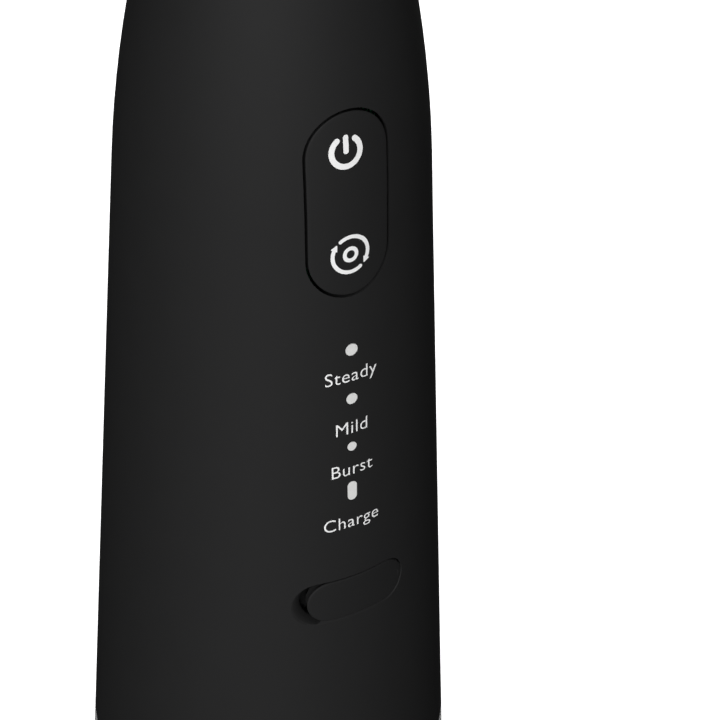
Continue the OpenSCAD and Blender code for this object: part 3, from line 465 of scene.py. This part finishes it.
def add_rod(bm, x, z, y0, y1, r):
    """A round bar along Y."""
    place = Matrix.Translation((x, (y0 + y1) / 2, z)) @ Matrix.Rotation(math.pi / 2, 4, "X")
    bmesh.ops.create_cone(bm, cap_ends=True, segments=32, radius1=r, radius2=r, depth=y1 - y0, matrix=place)


def add_block(bm, low, high):
    """A box between two corners."""
    size = [b - a for a, b in zip(low, high)]
    middle = [(a + b) / 2 for a, b in zip(low, high)]
    bmesh.ops.create_cube(bm, size=1, matrix=Matrix.Translation(middle) @ Matrix.Diagonal((*size, 1)))


# ---------- the smooth handle ----------
def smooth_handle():
    """The handle's shell with the true curve's shading on its skin."""
    shell = merged_copy("handle_shell")
    mesh = add_piece("handle_skin", shell, "soft_black", "handle", ["handle_shell"]).data
    ways = [Vector(corner.vector) for corner in mesh.corner_normals]
    for face in mesh.polygons:
        true = skin_normal(face.center)
        if face.normal.dot(true) < 0.97 or abs(face.center.xy.length - body_r(face.center.z)) > 0.2 * MM:
            continue
        for corner in face.loop_indices:
            ways[corner] = skin_normal(mesh.vertices[mesh.loops[corner].vertex_index].co)
    mesh.normals_split_custom_set(ways)


# ---------- the button pad ----------
PAD_W = 13.14 * MM
PAD_H = 29.14 * MM
PAD_T = 2.3 * MM
PAD_STAND = 0.03 * MM
PAD_EDGE_R = 0.14 * MM
PAD_RIM_T = 0.8 * MM
UNDERCUT = 0.4 * MM
PAD_PIN_Y = PAD_T * 2 - body_r(PAD_Z)
SWITCH = 8.3 * MM
STUB_R = 1.5 * MM
STUB_END_Y = -18.95 * MM
LUG_W = 3.6 * MM
LUG_H = 1.6 * MM


def add_pad():
    """The rocking pad with its two stubs over the switches and its lug round the pin."""
    bm = bmesh.new()
    pad = Pill(bm, PAD_W, PAD_H, level=-PAD_T, tuck=UNDERCUT)
    edge = pad.rounded(PAD_STAND, PAD_EDGE_R)
    pad.carry([(pad.r - UNDERCUT, -PAD_RIM_T), *edge, *pad.inwards(PAD_STAND, edge[-1][0], 14)])
    pad.carry(pad.inwards(-PAD_T, pad.r - UNDERCUT, 6))
    close_up(bm)
    wrap(bm, PAD_Z)
    for side in (-1, 1):
        z = PAD_Z + side * SWITCH
        add_rod(bm, 0, z, on_skin(0, z, PAD_T / 2).y, STUB_END_Y, STUB_R)
    low = (-LUG_W, on_skin(0, PAD_Z, PAD_T / 2).y, PAD_Z - LUG_H)
    add_block(bm, low, (LUG_W, PAD_PIN_Y + LUG_H, PAD_Z + LUG_H))
    bmesh.ops.recalc_face_normals(bm, faces=bm.faces)
    add_piece("button_cap", bm, "pad_black", "button", ["button_pad"])


# ---------- the port's rubber cover ----------
COVER_X0 = -7.65 * MM
COVER_X1 = 10 * MM
COVER_H = 7.62 * MM
COVER_T = 1.9 * MM
COVER_STAND = -0.03 * MM
COVER_EDGE_R = 0.22 * MM
COVER_RIM_T = 0.9 * MM
COVER_UNDERCUT = 1.5 * UNDERCUT
PORT_FLOOR = 4.4 * MM
LIP_X = -0.4 * MM
LIP_W = 10.6 * MM
LIP_H = 4.9 * MM
LIP_WALL = 0.9 * MM
LIP_ROOT = 0.3 * MM
LIP_CHAMFER = 0.1 * MM
LIP_GAP = 0.25 * MM
PEG_X = 8.3 * MM
PEG_R = 1.1 * MM
PEG_Y0 = -26.8 * MM
PEG_Y1 = -22.4 * MM
NOTCH_X = -6.05 * MM
NOTCH_R = 4.09 * MM
NOTCH_W = 2.3 * MM
NOTCH_TOP = -0.12 * MM
NOTCH_T = 0.25 * MM
NOTCH_DROPS = (0.16, 0.2, 0.24, 0.28, 0.32, 0.38, 0.46)


def add_cover():
    """One piece of rubber: a flap with a seal lip under it and a peg at its other end."""
    bm = bmesh.new()
    middle = ((COVER_X0 + COVER_X1) / 2, 0)
    plate = Pill(bm, COVER_X1 - COVER_X0, COVER_H, middle, level=-COVER_T, tuck=COVER_UNDERCUT, cuts=60)
    inner = plate.r - COVER_UNDERCUT
    front = plate.rounded(COVER_STAND, COVER_EDGE_R)
    plate.carry([(inner, -COVER_RIM_T), *front, *plate.inwards(COVER_STAND, front[-1][0], 8)])
    plate.carry(plate.inwards(-COVER_T, inner, 6))
    root = LIP_ROOT - COVER_T
    tip = LIP_GAP - PORT_FLOOR
    lip = Pill(bm, LIP_W, LIP_H, (LIP_X, 0), level=root, cuts=16)
    bore = lip.r - LIP_WALL
    outside = [(lip.r, tip + LIP_CHAMFER), (lip.r - LIP_CHAMFER, tip), (bore + LIP_CHAMFER, tip)]
    lip.carry([(bore, tip + LIP_CHAMFER), (bore, root)], lip.carry(outside))
    close_up(bm)
    wrap(bm, PORT_Z)
    add_rod(bm, PEG_X, PORT_Z, PEG_Y0, PEG_Y1, PEG_R)
    piece = add_piece("rubber_cover", bm, "cover_rubber", None, ["port_cover", "cover_anchor"])
    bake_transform(piece)


def add_notch():
    """The finger notch: a ramp from the recess's round end down beside the cover."""
    bm = bmesh.new()
    end = Matrix.Translation((NOTCH_X, 0, NOTCH_TOP)) @ Matrix.Rotation(math.pi / PILL_SIDES, 4, "Z")
    bmesh.ops.create_circle(bm, segments=PILL_SIDES, radius=NOTCH_R, matrix=end)
    bmesh.ops.delete(bm, geom=[v for v in bm.verts if v.co.x > NOTCH_X + 0.1 * MM], context="VERTS")
    rim = bm.edges[:]
    for drop in NOTCH_DROPS:
        fresh, rim = next_ring(bm, rim)
        bmesh.ops.translate(bm, verts=fresh, vec=(NOTCH_W / len(NOTCH_DROPS), 0, -drop * MM))
    for face in bm.faces:
        face.normal_update()
        if face.normal.z < 0:
            face.normal_flip()
    wrap(bm, PORT_Z)
    piece = add_piece("finger_notch", bm, "soft_black", "handle")
    sheet = piece.modifiers.new("thickness", "SOLIDIFY")
    sheet.thickness = NOTCH_T
    sheet.offset = -1


def add_spring():
    """The spring between the handle and the eject button, as one joined copy of its CAD node."""
    bm = merged_copy("eject_spring")
    middle = sum((vertex.co for vertex in bm.verts), Vector()) / len(bm.verts)
    piece = add_piece("eject_coil", bm, "screw_steel", None, ["eject_spring"])
    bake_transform(piece)


# ---------- symbols and words ----------
INK_T = 0.015 * MM
INK_STEP = 0.7 * MM
LETTER_H = 2.27 * MM
CAPITAL_SHARE = 0.7
LETTER_THIN = 0.025 * MM
LABELS = [("Steady", 3.15), ("Mild", -6.3), ("Burst", -14.0), ("Charge", -24.0)]
POWER_Z = LED + 41.72 * MM
POWER_X = -0.55 * MM
POWER_R = 2.28 * MM
POWER_LINE = 0.88 * MM
POWER_STEM = (0.05 * MM, 2.16 * MM)
STEM_LINE = 0.84 * MM
MODE_Z = LED + 25.12 * MM
MODE_X = -0.09 * MM
MODE_R = 2.9 * MM
MODE_EYE_R = 0.98 * MM
MODE_LINE = 0.62 * MM
ARROW = 0.7 * MM


def disc(bm, x, y, r):
    """A flat round dot."""
    bmesh.ops.create_circle(bm, cap_ends=True, segments=28, radius=r, matrix=Matrix.Translation((x, y, 0)))


def bow(bm, r, stroke, start, end):
    """A round-ended line bent round the drawing's middle, between two angles in degrees."""
    first = math.radians(start)
    sides = [bm.verts.new((share * math.cos(first), share * math.sin(first), 0))
        for share in (r - stroke / 2, r + stroke / 2)]
    edge = bm.edges.new(sides)
    steps = max(8, round(abs(end - start) / 4))
    bmesh.ops.spin(bm, geom=[*sides, edge], cent=(0, 0, 0), axis=(0, 0, 1), angle=math.radians(end - start),
        steps=steps, use_duplicate=False)
    if abs(end - start) < 360:
        for angle in (first, math.radians(end)):
            disc(bm, r * math.cos(angle), r * math.sin(angle), stroke / 2)


def stroke_up(bm, x, y0, y1, width):
    """An upright line with round ends."""
    for y in (y0, y1):
        disc(bm, x, y, width / 2)
    middle = Matrix.Translation((x, (y0 + y1) / 2, 0)) @ Matrix.Diagonal((width, y1 - y0, 1, 1))
    bmesh.ops.create_grid(bm, x_segments=1, y_segments=8, size=0.5, matrix=middle)


def arrowhead(bm, r, angle, size):
    """A soft-cornered arrowhead on a clockwise bow's end."""
    turn = math.radians(angle)
    place = Matrix.Translation((r * math.cos(turn), r * math.sin(turn), 0))
    pointed = place @ Matrix.Rotation(turn - math.pi / 2, 4, "Z") @ Matrix.Rotation(-math.pi / 2, 4, "Z")
    corners = bmesh.ops.create_circle(bm, cap_ends=True, segments=3, radius=size, matrix=pointed)["verts"]
    bmesh.ops.bevel(bm, geom=corners, offset=size * 0.25, offset_type="OFFSET", segments=3, profile=0.5,
        affect="VERTICES", material=-1)


def print_on(name, bm, height, stand, finish, body):
    """Gives a flat drawing the thickness of ink and lays it on the skin."""
    bmesh.ops.remove_doubles(bm, verts=bm.verts, dist=0.0005 * MM)
    for vertex in bm.verts:
        vertex.co.z = stand + INK_T
    xs = [vertex.co.x for vertex in bm.verts]
    line = math.ceil(min(xs) / INK_STEP) * INK_STEP
    while line < max(xs):
        geom = [*bm.verts, *bm.edges, *bm.faces]
        bmesh.ops.bisect_plane(bm, geom=geom, dist=0.001 * MM, plane_co=(line, 0, 0), plane_no=(1, 0, 0))
        line += INK_STEP
    made = bmesh.ops.extrude_face_region(bm, geom=bm.faces[:])["geom"]
    for part in made:
        if isinstance(part, bmesh.types.BMVert):
            part.co.z -= 2 * INK_T
    bmesh.ops.recalc_face_normals(bm, faces=bm.faces)
    wrap(bm, height)
    return add_piece(name, bm, finish, body)


def add_power_symbol():
    """A ring, open at its top, with an upright line in the gap."""
    bm = bmesh.new()
    bow(bm, POWER_R, POWER_LINE, 127, 411)
    stroke_up(bm, 0, *POWER_STEM, STEM_LINE)
    bmesh.ops.translate(bm, verts=bm.verts, vec=(POWER_X, 0, 0))
    print_on("power_symbol", bm, POWER_Z, PAD_STAND, "icon_ink", "button")


def add_mode_symbol():
    """Two arrows chasing each other clockwise round a ring."""
    bm = bmesh.new()
    bow(bm, MODE_EYE_R, MODE_LINE, 0, 360)
    for turn in (0, 180):
        half = bmesh.new()
        bow(half, MODE_R, MODE_LINE, 124, -24)
        arrowhead(half, MODE_R, -30, ARROW)
        half.transform(Matrix.Rotation(math.radians(turn), 4, "Z"))
        spare = bpy.data.meshes.new("half")
        half.to_mesh(spare)
        half.free()
        bm.from_mesh(spare)
        bpy.data.meshes.remove(spare)
    bmesh.ops.translate(bm, verts=bm.verts, vec=(MODE_X, 0, 0))
    print_on("mode_symbol", bm, MODE_Z, PAD_STAND, "icon_ink", "button")


def add_label(word, baseline):
    """A plain word, centred under its indicator."""
    curve = bpy.data.curves.new(word, "FONT")
    curve.body = word
    curve.align_x = "CENTER"
    curve.size = LETTER_H / CAPITAL_SHARE
    curve.space_character = 1.06
    curve.offset = -LETTER_THIN
    curve.resolution_u = 6
    drawn = new_object(word, curve)
    bpy.context.view_layer.update()
    flat = bpy.data.meshes.new_from_object(drawn.evaluated_get(bpy.context.evaluated_depsgraph_get()))
    bm = bmesh.new()
    bm.from_mesh(flat)
    bpy.data.objects.remove(drawn)
    bpy.data.curves.remove(curve)
    bpy.data.meshes.remove(flat)
    print_on("label_" + word.lower(), bm, LED + baseline * MM, 0, "label_ink", "handle")


smooth_handle()
softened("shoulder_cap", "top_cap", "cap_black", "handle", 0.35 * MM)
softened("turning_dial", "nozzle_dial", "cap_black", "dial", 0.12 * MM)
softened("eject_key", "eject_button", "cap_black", "ejector", 0.3 * MM)
softened("filler_flap", "filler_lid", "cap_black", "filler", 0.25 * MM)
softened("foot", "foot_pad", "foot_rubber", "tank", 0.3 * MM)
softened("tank_wall", "tank_shell", "tank_smoke", "tank", 0.25 * MM)
softened("nozzle", "nozzle_body", "nozzle_white", "nozzle", 0.15 * MM)
add_pad()
add_cover()
add_notch()
add_spring()
add_power_symbol()
add_mode_symbol()
for word, baseline in LABELS:
    add_label(word, baseline)


# ---------- light and floor ----------
FLOOR_HALF = 6
WALL_R = 5
WALL_H = 6
WALL_MIDDLE = (0, 0, 2.9)
STUDIO_WHITE = (0.9, 0.9, 0.9)
FLOOR_GLOW = 0.84
WALL_GLOW = 0.85
BODY_MIDDLE = (0, 0, 0.15)


def softbox(name, place, target, width, height, power):
    """A soft rectangular lamp that the camera doesn't see."""
    data = bpy.data.lights.new(name, "AREA")
    data.shape = "RECTANGLE"
    data.size = width
    data.size_y = height
    data.energy = power
    lamp = new_object(name, data)
    lamp.location = place
    lamp.visible_camera = False
    lamp.rotation_mode = "QUATERNION"
    lamp.rotation_quaternion = (Vector(target) - Vector(place)).to_track_quat("-Z", "Y")


def pale(name, colour, glow):
    """A pale studio surface that glows a little, so that it stays white."""
    paint = Paint(name)
    mottle = paint.noise(0.4, 2)
    return paint.finish(
        Base_Color=paint.blend(mottle, shade(colour, 0.99), colour),
        Roughness=0.85 + 0.1 * mottle,
        Emission_Color=(1, 1, 1, 1),
        Emission_Strength=glow,
        Specular_IOR_Level=0.1)


def add_stage(name, bm, finish):
    """A piece of the studio, which isn't part of the model and casts no colour on it."""
    mesh = bpy.data.meshes.new(name)
    bm.to_mesh(mesh)
    bm.free()
    mesh.materials.append(finish)
    piece = new_object(name, mesh)
    piece.visible_glossy = False
    piece.visible_diffuse = False
    return piece


def add_floor():
    bm = bmesh.new()
    bmesh.ops.create_grid(bm, x_segments=1, y_segments=1, size=FLOOR_HALF)
    add_stage("floor", bm, pale("pale_floor", STUDIO_WHITE, FLOOR_GLOW))


def add_backdrop():
    """A wide round wall that low views end on."""
    bm = bmesh.new()
    place = Matrix.Translation(WALL_MIDDLE)
    bmesh.ops.create_cone(bm, segments=96, radius1=WALL_R, radius2=WALL_R, depth=WALL_H, matrix=place)
    bmesh.ops.reverse_faces(bm, faces=bm.faces)
    wall = add_stage("backdrop", bm, pale("pale_wall", STUDIO_WHITE, WALL_GLOW))
    wall.data.shade_smooth()
    wall.visible_shadow = False


def add_world():
    """A faint even light from everywhere."""
    world = bpy.data.worlds.new("studio")
    world.use_nodes = True
    back = world.node_tree.nodes["Background"]
    back.inputs["Color"].default_value = (1, 1, 1, 1)
    back.inputs["Strength"].default_value = 0.03
    bpy.context.scene.world = world


add_floor()
add_backdrop()
add_world()
softbox("overhead", (0, 0, 1.6), (0, 0, 0), 2.2, 2.2, 5)
softbox("key", (-0.85, -1.17, 0.6), BODY_MIDDLE, 1.0, 1.1, 28)
softbox("fill", (0.85, 1.3, 1.0), BODY_MIDDLE, 1.0, 1.0, 22)
bpy.context.scene.view_settings.view_transform = "Standard"
